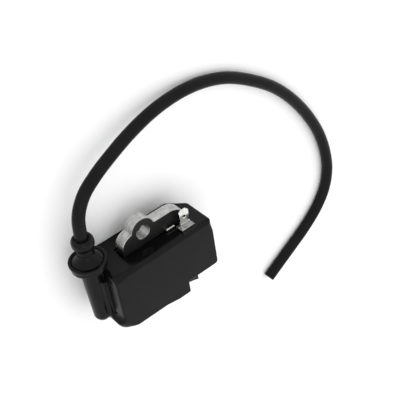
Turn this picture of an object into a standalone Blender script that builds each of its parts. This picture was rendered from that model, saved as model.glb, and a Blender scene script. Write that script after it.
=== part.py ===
"""Ignition coil module of a small two-stroke engine, with its high-tension lead.

The module lies on its large back face. +Z is up through its thickness, +X runs along it away from
the lead tower, and +Y points to the terminal side, away from the flywheel. The origin is the middle
of the module's footprint on the surface, with the lead left out. Lengths are in metres.
"""

import math

import bmesh
import bpy
from mathutils import Matrix, Vector

MM = 0.001
GAP = 0.3 * MM

# Housing: a moulded box, open at the back, with the lead tower on its left end.
THICKNESS = 21.8 * MM
LEFT = -20.4 * MM
RIGHT = 28.8 * MM
TERMINAL_FACE = 8.25 * MM
LOWER_FACE = -19.2 * MM
LOWEST_EDGE = -20.75 * MM
NOTCH_X = 13.6 * MM
NOTCH_FACE = -15.05 * MM
WALL = 1.6 * MM
BACK_CHAMFER = 6.6 * MM
FRONT_EDGE_RADIUS = 1.8 * MM
GROOVE_FLOOR = 12.4 * MM
GROOVE_X = -14.0 * MM
GROOVE_END = -14.5 * MM

# Tower: its axis is parallel to Y at half the housing's thickness.
TOWER_X = -21.4 * MM
TOWER_Z = 11.0 * MM
COLLAR_TOP = 15.15 * MM
COLLAR_BOTTOM = 11.6 * MM
COLLAR_RADIUS = 7.5 * MM
LOWER_RING_RADIUS = 7.0 * MM
RECESS_RADIUS = 6.3 * MM
RECESS_DEPTH = 1.0 * MM
BARREL_RADIUS = 4.3 * MM
BARREL_END_RADIUS = 3.5 * MM
BARREL_END = -13.0 * MM
DOME_END = -16.45 * MM
BOOT_TOP = 25.9 * MM

# Core: a U of laminations whose yoke and bolt ear stand on the terminal side.
CORE_BACK = 8.4 * MM
CORE_FRONT = 13.4 * MM
CORE_MIDDLE = (CORE_BACK + CORE_FRONT) / 2
YOKE_TOP = 15.5 * MM
YOKE_BOTTOM = 7.75 * MM
CORE_LEFT = -7.6 * MM
CORE_RIGHT = 23.4 * MM
LEG_WIDTH = 8.1 * MM
EAR_X = 2.6 * MM
EAR_Y = 14.85 * MM
EAR_RADIUS = 5.25 * MM
LEG_EAR_X = 18.6 * MM
LEG_EAR_Y = -20.3 * MM
LEG_EAR_LEFT = 13.9 * MM
EAR_HOLE_X = 2.5 * MM
EAR_HOLE_Y = 14.1 * MM
BOLT_HOLE_RADIUS = 3.05 * MM
POLE_TIP = -26.5 * MM
POLE_RADIUS = 48.0 * MM

# Lead: its diameter, and the route of its middle line from inside the tower to its cut end.
LEAD_RADIUS = 2.5 * MM
REST = LEAD_RADIUS + 0.1 * MM
LEAD_ROUTE = [
    (TOWER_X, 0.0, TOWER_Z),
    (TOWER_X, 0.010, TOWER_Z),
    (TOWER_X, 0.020, TOWER_Z),
    (-0.0213, 0.028, TOWER_Z),
    (-0.0200, 0.0355, 0.0109),
    (-0.0160, 0.0420, 0.0106),
    (-0.0095, 0.0465, 0.0099),
    (-0.0010, 0.0502, 0.0088),
    (0.0100, 0.0536, 0.0071),
    (0.0225, 0.0558, 0.0053),
    (0.0355, 0.0560, 0.0038),
    (0.0480, 0.0541, 0.0029),
    (0.0600, 0.0498, REST),
    (0.0720, 0.0424, REST),
    (0.0830, 0.0334, REST),
    (0.0925, 0.0224, REST),
    (0.1005, 0.0099, REST),
    (0.1065, -0.0030, REST),
    (0.1098, -0.0155, REST),
    (0.1104, -0.0265, REST),
    (0.1078, -0.0362, REST),
    (0.1020, -0.0444, REST),
    (0.0935, -0.0515, REST),
    (0.0830, -0.0580, REST),
    (0.0689, -0.0665, REST),
]

# Windings: the high-tension coil on the left leg and the charge coil on the right one.
COIL_X = CORE_LEFT + LEG_WIDTH / 2
COIL_LOW = -16.9 * MM
COIL_HIGH = 5.2 * MM
CHARGE_X = CORE_RIGHT - LEG_WIDTH / 2
CHARGE_LOW = -12.9 * MM
CHARGE_HIGH = 4.4 * MM
SECONDARY_CHAMBERS = 5
CHAMBER_WALL = 0.8 * MM
LIP = 0.15 * MM

# Terminal and circuit board.
BLADE_X = 20.05 * MM
BLADE_WIDTH = 4.5 * MM
BLADE_TOP = 15.55 * MM
BLADE_FRONT = 16.5 * MM
SHEET = 0.8 * MM
FOOT_BOTTOM = TERMINAL_FACE + GAP
BOARD_BACK = 16.8 * MM
BOARD_THICKNESS = 1.2 * MM

ROUND_STEPS = 32

COLOURS = {
    "moulding": ((0.022, 0.022, 0.024), 0.32, 0.0),
    "resin": ((0.030, 0.028, 0.027), 0.45, 0.0),
    "lamination": ((0.62, 0.62, 0.60), 0.38, 1.0),
    "bobbin": ((0.72, 0.70, 0.62), 0.50, 0.0),
    "copper": ((0.62, 0.25, 0.10), 0.35, 1.0),
    "tinned": ((0.78, 0.78, 0.76), 0.25, 1.0),
    "brass": ((0.72, 0.53, 0.22), 0.30, 1.0),
    "board": ((0.05, 0.22, 0.09), 0.45, 0.0),
    "component": ((0.10, 0.13, 0.30), 0.40, 0.0),
    "semiconductor": ((0.03, 0.03, 0.03), 0.45, 0.0),
    "rubber": ((0.020, 0.020, 0.020), 0.55, 0.0),
}


def material(name):
    """The Principled material of one finish, made once and then shared."""
    found = bpy.data.materials.get(name)
    if found:
        return found
    colour, roughness, metallic = COLOURS[name]
    made = bpy.data.materials.new(name)
    made.use_nodes = True
    shader = made.node_tree.nodes["Principled BSDF"]
    shader.inputs["Base Color"].default_value = (*colour, 1.0)
    shader.inputs["Roughness"].default_value = roughness
    shader.inputs["Metallic"].default_value = metallic
    return made


def collection(name):
    """The named collection, made and linked to the scene the first time."""
    found = bpy.data.collections.get(name)
    if found:
        return found
    made = bpy.data.collections.new(name)
    bpy.context.scene.collection.children.link(made)
    return made


def add(name, mesh, finish=None):
    """A new object: a named sub-part when it has a finish, and a hidden cutter otherwise."""
    obj = bpy.data.objects.new(name, mesh)
    if finish:
        mesh.materials.append(material(finish))
        collection("ignition_coil").objects.link(obj)
        return obj
    collection("cutters").objects.link(obj)
    obj.hide_render = True
    obj.display_type = "WIRE"
    return obj


def mesh_from(name, bm):
    """Turns a bmesh into mesh data with smooth sides and sharp corners."""
    bmesh.ops.recalc_face_normals(bm, faces=bm.faces)
    mesh = bpy.data.meshes.new(name)
    bm.to_mesh(mesh)
    bm.free()
    mesh.shade_smooth()
    mesh.set_sharp_from_angle(angle=math.radians(35))
    return mesh


def block(name, low, high, finish=None):
    """A box between two corners."""
    low, high = Vector(low), Vector(high)
    bm = bmesh.new()
    middle = Matrix.Translation((low + high) / 2)
    bmesh.ops.create_cube(bm, size=1.0, matrix=middle @ Matrix.Diagonal((*(high - low), 1.0)))
    return add(name, mesh_from(name, bm), finish)


def bar(name, start, end, radius, finish=None, steps=ROUND_STEPS):
    """A round bar from one point to another."""
    start, end = Vector(start), Vector(end)
    turn = (end - start).to_track_quat("Z", "Y").to_matrix().to_4x4()
    bm = bmesh.new()
    bmesh.ops.create_cone(
        bm,
        cap_ends=True,
        segments=steps,
        radius1=radius,
        radius2=radius,
        depth=(end - start).length,
        matrix=Matrix.Translation((start + end) / 2) @ turn,
    )
    return add(name, mesh_from(name, bm), finish)


def baked(obj):
    """Replaces a curve object by the mesh that it evaluates to, with its caps welded on."""
    bpy.context.view_layer.update()
    graph = bpy.context.evaluated_depsgraph_get()
    mesh = bpy.data.meshes.new_from_object(obj.evaluated_get(graph))
    bm = bmesh.new()
    bm.from_mesh(mesh)
    bm.transform(obj.matrix_world)
    bmesh.ops.remove_doubles(bm, verts=bm.verts, dist=0.001 * MM)
    bpy.data.meshes.remove(mesh)
    bpy.data.objects.remove(obj)
    return bm


# For each extrusion direction, where an outline's own x, y and thickness point.
OUTLINE_AXES = {
    "X": ((0, 1, 0), (0, 0, 1), (1, 0, 0)),
    "Y": ((1, 0, 0), (0, 0, 1), (0, -1, 0)),
    "Z": ((1, 0, 0), (0, 1, 0), (0, 0, 1)),
}


def outline_solid(name, outlines, low, high, direction, finish=None):
    """Flat outlines, the first the outer one and the others holes, made thick from low to high."""
    curve = bpy.data.curves.new(name, "CURVE")
    curve.dimensions = "2D"
    curve.fill_mode = "BOTH"
    curve.extrude = (high - low) / 2
    for outline in outlines:
        spline = curve.splines.new("POLY")
        spline.points.add(len(outline) - 1)
        for point, (x, y) in zip(spline.points, outline):
            point.co = (x, y, 0.0, 1.0)
        spline.use_cyclic_u = True
    obj = bpy.data.objects.new(name, curve)
    bpy.context.scene.collection.objects.link(obj)
    turn = Matrix(OUTLINE_AXES[direction]).transposed().to_4x4()
    middle = Vector([abs(v) for v in OUTLINE_AXES[direction][2]]) * ((low + high) / 2)
    obj.matrix_world = Matrix.Translation(middle) @ turn
    return add(name, mesh_from(name, baked(obj)), finish)


def turned(name, profile, x, z, finish=None):
    """A shape turned about an axis parallel to Y, from a profile of (radius, y) run top to bottom."""
    bm = bmesh.new()
    points = [bm.verts.new((radius, 0.0, y)) for radius, y in profile]
    for first, second in zip(points, points[1:]):
        bm.edges.new((first, second))
    if profile[0][0] > 0:
        bm.edges.new((points[-1], points[0]))
    mesh = bpy.data.meshes.new(name)
    bm.to_mesh(mesh)
    bm.free()
    obj = add(name, mesh, finish)
    obj.location = (x, 0.0, z)
    obj.rotation_euler = (-math.pi / 2, 0.0, 0.0)
    screw = obj.modifiers.new("turn", "SCREW")
    screw.steps = ROUND_STEPS
    screw.render_steps = ROUND_STEPS
    screw.use_merge_vertices = True
    screw.merge_threshold = 0.01 * MM
    screw.use_smooth_shade = True
    return obj


def boolean(obj, other, operation):
    modifier = obj.modifiers.new(other.name, "BOOLEAN")
    modifier.operation = operation
    modifier.solver = "EXACT"
    modifier.object = other


def cut(obj, *cutters):
    for cutter in cutters:
        boolean(obj, cutter, "DIFFERENCE")


def join(obj, *others):
    for other in others:
        boolean(obj, other, "UNION")


def keep_inside(obj, other):
    boolean(obj, other, "INTERSECT")


def arc(x, y, radius, start, end, steps):
    """Points on an arc about (x, y), from one angle in degrees to another, both ends included."""
    angles = [math.radians(start + (end - start) * i / steps) for i in range(steps + 1)]
    return [(x + radius * math.cos(a), y + radius * math.sin(a)) for a in angles]


def rounded_rectangle(x, y, half_width, half_height, radius):
    points = []
    for turn, (side, up) in enumerate(((1, 1), (-1, 1), (-1, -1), (1, -1))):
        corner_x = x + side * (half_width - radius)
        corner_y = y + up * (half_height - radius)
        points += arc(corner_x, corner_y, radius, 90 * turn, 90 * turn + 90, 3)
    return points


def tube_around_leg(name, x, low, high, inner, outer, finish=None):
    """A rectangular tube along Y about a core leg, from its inner and outer half sizes."""
    holes = rounded_rectangle(x, CORE_MIDDLE, *inner, 0.4 * MM)
    rim = rounded_rectangle(x, CORE_MIDDLE, *outer, 1.0 * MM)
    return outline_solid(name, [rim, holes], low, high, "Y", finish)


def plan_outline():
    """The housing seen from the front, along -Z."""
    foot_left, foot_right = 1.6 * MM, 7.6 * MM
    corner, small = 7.5 * MM, 1.5 * MM
    points = [(LEFT, TERMINAL_FACE)]
    points += arc(LEFT + corner, LOWER_FACE + corner, corner, 180, 270, 8)
    points += [(foot_left, LOWER_FACE), (foot_right, LOWEST_EDGE)]
    points += [(NOTCH_X, LOWEST_EDGE), (NOTCH_X, NOTCH_FACE)]
    points += arc(RIGHT - small, NOTCH_FACE + small, small, 270, 360, 4)
    points += [(RIGHT, TERMINAL_FACE)]
    return points


def section_outline():
    """The housing seen from the terminal side, as (x, z)."""
    corner, small = 3.5 * MM, 1.0 * MM
    bend = 1.2 * MM
    points = [(LEFT, 0.0), (RIGHT - BACK_CHAMFER, 0.0)]
    points += [(RIGHT - bend, BACK_CHAMFER - bend), (RIGHT, BACK_CHAMFER + bend)]
    points += arc(RIGHT - small, THICKNESS - small, small, 0, 90, 3)
    points += arc(LEFT + corner, THICKNESS - corner, corner, 90, 180, 6)
    return points


def front_edge_cutter():
    """What rounds the edge between the front and the terminal face."""
    radius, outside = FRONT_EDGE_RADIUS, MM
    y, z = TERMINAL_FACE - radius, THICKNESS - radius
    points = arc(y, z, radius, 90, 0, 4)
    points += [(TERMINAL_FACE + outside, z), (TERMINAL_FACE + outside, THICKNESS + outside)]
    points += [(y, THICKNESS + outside)]
    return outline_solid("front_edge", [points], -30 * MM, 30 * MM, "X")


def inner_space(name, inset, low, high, finish=None):
    """The space inside the housing's walls, drawn in by an inset."""
    left, right = -13.1 * MM + inset, RIGHT - WALL - inset
    step = NOTCH_X - WALL - inset
    plan = [
        (left, TERMINAL_FACE - WALL - inset),
        (left, LOWER_FACE + WALL + inset),
        (step, LOWER_FACE + WALL + inset),
        (step, NOTCH_FACE + WALL + inset),
        (right, NOTCH_FACE + WALL + inset),
        (right, TERMINAL_FACE - WALL - inset),
    ]
    slope = RIGHT - BACK_CHAMFER - (WALL + inset) * math.sqrt(2)
    below, above = -2 * MM, 23 * MM
    section = [
        (left - MM, below),
        (slope + below, below),
        (right + MM, right + MM - slope),
        (right + MM, above),
        (left - MM, above),
    ]
    space = outline_solid(name, [plan], low, high, "Z", finish)
    limit = outline_solid(name + "_limit", [section], -30 * MM, 30 * MM, "Y")
    keep_inside(space, limit)
    return space


def tower():
    edge = 0.3 * MM
    profile = [
        (0.0, COLLAR_TOP - RECESS_DEPTH),
        (RECESS_RADIUS, COLLAR_TOP - RECESS_DEPTH),
        (RECESS_RADIUS, COLLAR_TOP),
        (COLLAR_RADIUS - edge, COLLAR_TOP),
        (COLLAR_RADIUS, COLLAR_TOP - edge),
        (COLLAR_RADIUS, COLLAR_TOP - 1.2 * MM),
        (LOWER_RING_RADIUS - 2 * edge, COLLAR_TOP - 1.4 * MM),
        (LOWER_RING_RADIUS - 2 * edge, COLLAR_TOP - 1.7 * MM),
        (LOWER_RING_RADIUS, COLLAR_TOP - 1.9 * MM),
        (LOWER_RING_RADIUS, COLLAR_BOTTOM + edge),
        (LOWER_RING_RADIUS - edge, COLLAR_BOTTOM),
        (BARREL_RADIUS, COLLAR_BOTTOM),
    ]
    height = BARREL_END - DOME_END
    for step in range(6):
        angle = math.radians(90 * step / 5)
        profile.append((BARREL_END_RADIUS * math.cos(angle), BARREL_END - height * math.sin(angle)))
    profile[-1] = (0.0, DOME_END)
    return turned("tower_outside", profile, TOWER_X, TOWER_Z)


def tower_bore():
    neck, chamber, end = 2.8 * MM, 2.4 * MM, -12.0 * MM
    profile = [(0.0, 16 * MM), (neck, 16 * MM), (neck, -3 * MM)]
    profile += [(chamber, -3.4 * MM), (chamber, end), (0.0, end)]
    return turned("tower_bore", profile, TOWER_X, TOWER_Z)


def housing_shell():
    shell = outline_solid("housing_shell", [plan_outline()], 0.0, THICKNESS, "Z", "moulding")
    limit = outline_solid("housing_section", [section_outline()], -25 * MM, 12 * MM, "Y")
    keep_inside(shell, limit)
    cut(shell, front_edge_cutter())

    wedge = [
        (GROOVE_X, GROOVE_FLOOR),
        (GROOVE_X - 6.8 * MM, GROOVE_FLOOR + 10.6 * MM),
        (-30 * MM, GROOVE_FLOOR + 10.6 * MM),
        (-30 * MM, GROOVE_FLOOR),
    ]
    cut(shell, outline_solid("tower_groove", [wedge], GROOVE_END, 12 * MM, "Y"))
    seat_rim = block(
        "terminal_seat_rim",
        (15.4 * MM, TERMINAL_FACE - 0.5 * MM, 20.1 * MM),
        (22.6 * MM, TERMINAL_FACE + 0.9 * MM, 20.8 * MM),
    )
    join(shell, tower(), seat_rim)
    cut(shell, inner_space("housing_cavity", 0.0, -MM, THICKNESS - WALL), tower_bore())

    passage = block("wire_passage", (-22 * MM, -11.2 * MM, 9.4 * MM), (-12 * MM, -8.2 * MM, 11.4 * MM))
    pocket = block(
        "yoke_pocket",
        (CORE_LEFT - 0.7 * MM, YOKE_BOTTOM - GAP, 7.1 * MM),
        (CORE_RIGHT + 0.7 * MM, 12 * MM, CORE_FRONT + 0.6 * MM),
    )
    cut(shell, passage, pocket)
    for side, left in (("left", CORE_LEFT), ("right", CORE_RIGHT - LEG_WIDTH)):
        hole = block(
            side + "_leg_hole",
            (left - GAP, -25 * MM, CORE_BACK - GAP),
            (left + LEG_WIDTH + GAP, 12 * MM, CORE_FRONT + GAP),
        )
        cut(shell, hole)
    blade_slot = block(
        "blade_slot",
        (18.2 * MM, 5 * MM, BLADE_FRONT - SHEET - GAP),
        (21.9 * MM, 12 * MM, BLADE_FRONT + GAP),
    )
    strap_slot = block("strap_slot", (13.3 * MM, 5 * MM, 14.3 * MM), (15.3 * MM, 12 * MM, 15.4 * MM))
    cut(shell, blade_slot, strap_slot)
    return shell


def potting_resin():
    """The resin's outer layer, which closes the open back of the housing."""
    return inner_space("potting_resin", GAP, 0.4 * MM, 2.6 * MM, "resin")


def core_outline():
    """The lamination's outline: a U with a bolt ear on its yoke and curved pole faces."""
    middle_x = (CORE_LEFT + CORE_RIGHT) / 2
    centre_y = POLE_TIP - math.sqrt(POLE_RADIUS**2 - (CORE_RIGHT - middle_x) ** 2)

    def pole_face(first_x, last_x):
        ends = [math.degrees(math.acos((x - middle_x) / POLE_RADIUS)) for x in (first_x, last_x)]
        return arc(middle_x, centre_y, POLE_RADIUS, *ends, 4)

    left_corner, right_corner = 5.0 * MM, 8.0 * MM
    ear_angle = math.degrees(math.asin((YOKE_TOP - EAR_Y) / EAR_RADIUS))
    left_leg_inside, right_leg_inside = CORE_LEFT + LEG_WIDTH, CORE_RIGHT - LEG_WIDTH
    ear_shoulder = LEG_EAR_Y + 4.95 * MM
    points = arc(CORE_LEFT + left_corner, YOKE_TOP - left_corner, left_corner, 180, 95, 6)
    points += arc(EAR_X, EAR_Y, EAR_RADIUS, 180 - ear_angle, ear_angle, 16)
    points += arc(CORE_RIGHT - right_corner, YOKE_TOP - right_corner, right_corner, 90, 0, 8)
    points += pole_face(CORE_RIGHT, LEG_EAR_LEFT)
    points += [(LEG_EAR_LEFT, ear_shoulder), (right_leg_inside, ear_shoulder)]
    points += [(right_leg_inside, YOKE_BOTTOM), (left_leg_inside, YOKE_BOTTOM)]
    points += pole_face(left_leg_inside, CORE_LEFT)
    return points


def laminated_core():
    core = outline_solid(
        "laminated_core", [core_outline()], CORE_BACK, CORE_FRONT, "Z", "lamination"
    )
    for name, x, y in (("ear_hole", EAR_HOLE_X, EAR_HOLE_Y), ("leg_hole", LEG_EAR_X, LEG_EAR_Y)):
        hole = bar(name, (x, y, CORE_BACK - MM), (x, y, CORE_FRONT + MM), BOLT_HOLE_RADIUS)
        cut(core, hole)
    return core


def bobbin(name, x, low, high, inner, tube, flange, stations):
    """A moulded bobbin: a tube about the leg with a flange at each station along it."""
    body = tube_around_leg(name, x, low - LIP, high + LIP, inner, tube, "bobbin")
    inner_flange = [(a + b) / 2 for a, b in zip(inner, tube)]
    for number, y in enumerate(stations):
        ring_name = f"{name}_flange_{number}"
        ring = tube_around_leg(ring_name, x, y, y + CHAMBER_WALL, inner_flange, flange)
        join(body, ring)
    return body


def high_tension_coil():
    """The primary winding on its bobbin, and the chambered secondary around it."""
    bobbin(
        "primary_bobbin",
        COIL_X,
        COIL_LOW,
        COIL_HIGH,
        (4.35 * MM, 2.8 * MM),
        (5.05 * MM, 3.5 * MM),
        (6.3 * MM, 4.75 * MM),
        (COIL_LOW, COIL_HIGH - CHAMBER_WALL),
    )
    tube_around_leg(
        "primary_winding",
        COIL_X,
        COIL_LOW + CHAMBER_WALL + GAP,
        COIL_HIGH - CHAMBER_WALL - GAP,
        (5.35 * MM, 3.8 * MM),
        (6.3 * MM, 4.75 * MM),
        "copper",
    )
    pitch = (COIL_HIGH - COIL_LOW - CHAMBER_WALL) / SECONDARY_CHAMBERS
    stations = [COIL_LOW + pitch * i for i in range(SECONDARY_CHAMBERS + 1)]
    bobbin(
        "secondary_bobbin",
        COIL_X,
        COIL_LOW,
        COIL_HIGH,
        (6.65 * MM, 5.1 * MM),
        (7.35 * MM, 5.8 * MM),
        (9.2 * MM, 7.65 * MM),
        stations,
    )
    for number, y in enumerate(stations[:-1], 1):
        tube_around_leg(
            f"secondary_winding_{number}",
            COIL_X,
            y + CHAMBER_WALL + GAP,
            y + pitch - GAP,
            (7.65 * MM, 6.1 * MM),
            (8.9 * MM, 7.35 * MM),
            "copper",
        )


def charge_coil():
    bobbin(
        "charge_bobbin",
        CHARGE_X,
        CHARGE_LOW,
        CHARGE_HIGH,
        (4.35 * MM, 2.8 * MM),
        (5.05 * MM, 3.5 * MM),
        (6.1 * MM, 5.1 * MM),
        (CHARGE_LOW, CHARGE_HIGH - CHAMBER_WALL),
    )
    tube_around_leg(
        "charge_winding",
        CHARGE_X,
        CHARGE_LOW + CHAMBER_WALL + GAP,
        CHARGE_HIGH - CHAMBER_WALL - GAP,
        (5.35 * MM, 3.8 * MM),
        (5.95 * MM, 4.8 * MM),
        "copper",
    )


def circuit_board():
    front = BOARD_BACK + BOARD_THICKNESS
    board = block(
        "circuit_board",
        (6.4 * MM, -13.0 * MM, BOARD_BACK),
        (26.6 * MM, 6.2 * MM, front),
        "board",
    )
    top = BOARD_BACK - GAP
    block(
        "storage_capacitor",
        (6.4 * MM, -12.6 * MM, 4.0 * MM),
        (11.7 * MM, -3.4 * MM, top),
        "component",
    )
    block(
        "thyristor",
        (6.6 * MM, -2.6 * MM, top - 3.6 * MM),
        (11.2 * MM, 2.0 * MM, top),
        "semiconductor",
    )
    for number in (1, 2):
        y = -13.0 * MM + 4.0 * MM * number
        z = front + GAP + 0.8 * MM
        for name, left, radius, finish in (
            ("rectifier_diode", 8.0 * MM, 0.8 * MM, "semiconductor"),
            ("timing_resistor", 17.0 * MM, 0.7 * MM, "component"),
        ):
            ends = (left, y, z), (left + 5.0 * MM, y, z)
            bar(f"{name}_{number}", *ends, radius, finish, 12)
    return board


def kill_terminal():
    """A spade blade with clipped corners, a foot on the face and a tail to the board."""
    half, clip, inset = BLADE_WIDTH / 2, 1.1 * MM, 0.05 * MM
    shoulder = FOOT_BOTTOM + SHEET / 4
    outline = [
        (BLADE_X - half, shoulder),
        (BLADE_X + half, shoulder),
        (BLADE_X + half, BLADE_TOP - clip),
        (BLADE_X + half - clip, BLADE_TOP),
        (BLADE_X - half + clip, BLADE_TOP),
        (BLADE_X - half, BLADE_TOP - clip),
    ]
    back = BLADE_FRONT - SHEET
    blade = outline_solid("kill_terminal", [outline], back, BLADE_FRONT, "Z", "tinned")
    foot = block(
        "terminal_foot",
        (15.9 * MM, FOOT_BOTTOM, back + SHEET / 2),
        (BLADE_X + half - 0.2 * MM, FOOT_BOTTOM + SHEET, 19.8 * MM),
    )
    tail = block(
        "terminal_tail",
        (18.5 * MM, 4.9 * MM, back + inset),
        (21.6 * MM, shoulder + SHEET / 4, BLADE_FRONT - inset),
    )
    join(blade, foot, tail)
    eye = (19.9 * MM, 12.2 * MM)
    low, high = (*eye, BLADE_FRONT - 2 * MM), (*eye, BLADE_FRONT + MM)
    cut(blade, bar("terminal_eye", low, high, 0.7 * MM, steps=20))
    return blade


def earth_strap():
    """A thin strip that lies along the core on the face, with a tail into the housing."""
    strap = block(
        "earth_strap",
        (11.8 * MM, FOOT_BOTTOM, 14.3 * MM),
        (15.5 * MM, FOOT_BOTTOM + 0.9 * MM, 15.1 * MM),
        "tinned",
    )
    finger = block(
        "strap_finger",
        (11.8 * MM, FOOT_BOTTOM, CORE_FRONT + GAP),
        (13.2 * MM, FOOT_BOTTOM + 0.9 * MM, 14.6 * MM),
    )
    tail = block("strap_tail", (13.6 * MM, 5.2 * MM, 14.6 * MM), (15.0 * MM, 9.0 * MM, 15.1 * MM))
    join(strap, finger, tail)
    return strap


def high_tension_contact():
    """The brass socket in the tower that the lead's stripped end sits in."""
    profile = [
        (1.1 * MM, -2.4 * MM),
        (1.6 * MM, -2.4 * MM),
        (1.6 * MM, -11.4 * MM),
        (0.9 * MM, -11.4 * MM),
        (0.9 * MM, -7.0 * MM),
        (1.1 * MM, -6.6 * MM),
    ]
    return turned("high_tension_contact", profile, TOWER_X, TOWER_Z, "brass")


def inner_wires():
    """Magnet wire from the windings to the board and to the tower's contact."""
    z = TOWER_Z - 0.6 * MM
    bar(
        "secondary_output_wire",
        (-19.4 * MM, -9.7 * MM, z),
        (COIL_X - 9.5 * MM, -9.7 * MM, z),
        0.35 * MM,
        "copper",
        12,
    )
    start = (COIL_X + 4 * MM, COIL_HIGH + 0.8 * MM, 15.6 * MM)
    end = (10.5 * MM, COIL_HIGH + 0.8 * MM, 15.6 * MM)
    bar("primary_output_wire", start, end, 0.3 * MM, "copper", 12)


def lead_boot():
    """The rubber boot: a base seated in the collar, a cone, a neck and a bead about the lead."""
    inside = LEAD_RADIUS + GAP
    base = RECESS_RADIUS - GAP
    neck, mouth, bead = 3.25 * MM, 3.7 * MM, 4.4 * MM
    seat = COLLAR_TOP - RECESS_DEPTH + GAP
    profile = [
        (inside, BOOT_TOP),
        (mouth, BOOT_TOP),
        (bead - 0.15 * MM, BOOT_TOP - 1.0 * MM),
        (bead, BOOT_TOP - 2.3 * MM),
        (bead - 0.3 * MM, BOOT_TOP - 3.5 * MM),
        (neck + 0.1 * MM, BOOT_TOP - 4.7 * MM),
        (neck, COLLAR_TOP + 3.0 * MM),
        (neck + 0.35 * MM, COLLAR_TOP + 1.9 * MM),
        (base - 0.5 * MM, COLLAR_TOP + 0.3 * MM),
        (base, COLLAR_TOP - 0.1 * MM),
        (base, seat),
        (inside, seat),
    ]
    return turned("lead_boot", profile, TOWER_X, TOWER_Z, "rubber")


def smooth_route(points, spacing):
    """Points about one spacing apart on a Catmull-Rom curve through the route."""
    route = [Vector(p) for p in points]
    route = [2 * route[0] - route[1], *route, 2 * route[-1] - route[-2]]
    found = []
    for a, b, c, d in zip(route, route[1:], route[2:], route[3:]):
        steps = max(1, round((c - b).length / spacing))
        for step in range(steps):
            t = step / steps
            bend = (2 * a - 5 * b + 4 * c - d) * t * t + (3 * b - a - 3 * c + d) * t**3
            found.append((2 * b + (c - a) * t + bend) / 2)
    found.append(route[-2])
    return found


def tube_along(name, points, radius, finish):
    curve = bpy.data.curves.new(name, "CURVE")
    curve.dimensions = "3D"
    curve.bevel_depth = radius
    curve.bevel_resolution = 3
    curve.use_fill_caps = True
    spline = curve.splines.new("POLY")
    spline.points.add(len(points) - 1)
    for place, point in zip(spline.points, points):
        place.co = (*point, 1.0)
    obj = bpy.data.objects.new(name, curve)
    curve.materials.append(material(finish))
    collection("ignition_coil").objects.link(obj)
    return obj


def high_tension_lead():
    """The lead's jacket, and the stripped conductor end that sits in the contact."""
    tube_along("high_tension_lead", smooth_route(LEAD_ROUTE, 5.0 * MM), LEAD_RADIUS, "rubber")
    bar(
        "lead_conductor",
        (TOWER_X, -6.2 * MM, TOWER_Z),
        (TOWER_X, -GAP, TOWER_Z),
        0.75 * MM,
        "copper",
        16,
    )


def main():
    for obj in list(bpy.data.objects):
        bpy.data.objects.remove(obj)
    housing_shell()
    potting_resin()
    laminated_core()
    high_tension_coil()
    charge_coil()
    circuit_board()
    kill_terminal()
    earth_strap()
    high_tension_contact()
    inner_wires()
    lead_boot()
    high_tension_lead()


main()
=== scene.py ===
import math

import bmesh
import bpy
import numpy as np
from mathutils import Matrix, Vector


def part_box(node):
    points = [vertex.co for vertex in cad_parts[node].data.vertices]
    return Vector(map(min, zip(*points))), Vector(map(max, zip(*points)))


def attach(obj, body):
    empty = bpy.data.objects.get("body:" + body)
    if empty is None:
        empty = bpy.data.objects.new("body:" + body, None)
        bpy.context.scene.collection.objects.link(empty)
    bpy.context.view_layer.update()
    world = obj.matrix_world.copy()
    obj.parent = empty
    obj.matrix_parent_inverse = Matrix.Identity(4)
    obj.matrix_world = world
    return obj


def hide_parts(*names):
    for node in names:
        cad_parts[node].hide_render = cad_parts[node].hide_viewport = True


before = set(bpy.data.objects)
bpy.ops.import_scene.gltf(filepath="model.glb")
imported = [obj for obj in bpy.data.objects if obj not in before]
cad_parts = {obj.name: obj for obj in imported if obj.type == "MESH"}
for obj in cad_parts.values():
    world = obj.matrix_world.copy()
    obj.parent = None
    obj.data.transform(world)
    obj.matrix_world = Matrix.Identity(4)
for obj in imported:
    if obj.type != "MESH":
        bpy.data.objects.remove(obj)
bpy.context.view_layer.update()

# Lengths are in millimetres, in the CAD model's frame, and MM turns them into metres. Only the
# camera, the floor, the light and the materials' patterns are in metres.
MM = 0.001
BODY = "root"


def box_mm(node):
    """A CAD node's lowest and highest corners, in millimetres."""
    low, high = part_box(node)
    return Vector(low) / MM, Vector(high) / MM


shell_low, shell_high = box_mm("housing_shell")
core_low, core_high = box_mm("laminated_core")
boot_low, boot_high = box_mm("lead_boot")
blade_low, blade_high = box_mm("kill_terminal")
strap_low, strap_high = box_mm("earth_strap")
resin_low, resin_high = box_mm("potting_resin")

TOWER_X = (boot_low.x + boot_high.x) / 2
TOWER_Z = (boot_low.z + boot_high.z) / 2
COLLAR_TOP = shell_high.y
BOOT_TOP = boot_high.y
THICKNESS = shell_high.z
RIGHT = shell_high.x

# ---------------------------------------------------------------- camera

CAMERA_PLACE = (-0.12123, 0.23862, 0.24333)
CAMERA_RIGHT = (0.7647, -0.1287, 0.6314)
CAMERA_UP = (0.484, 0.7617, -0.4309)
LENS, SENSOR_WIDTH = 81.45, 36.0


def make_camera():
    """The camera, from its place and the directions of the picture's right and top."""
    data = bpy.data.cameras.new("camera")
    data.lens = LENS
    data.sensor_width = SENSOR_WIDTH
    data.clip_start = 0.01
    camera = bpy.data.objects.new("camera", data)
    bpy.context.scene.collection.objects.link(camera)
    right = Vector(CAMERA_RIGHT).normalized()
    up = Vector(CAMERA_UP)
    up = (up - right * up.dot(right)).normalized()
    turn = Matrix((right, up, right.cross(up))).transposed()
    camera.matrix_world = Matrix.Translation(CAMERA_PLACE) @ turn.to_4x4()
    bpy.context.scene.camera = camera


make_camera()

# ---------------------------------------------------------------- meshes


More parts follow.
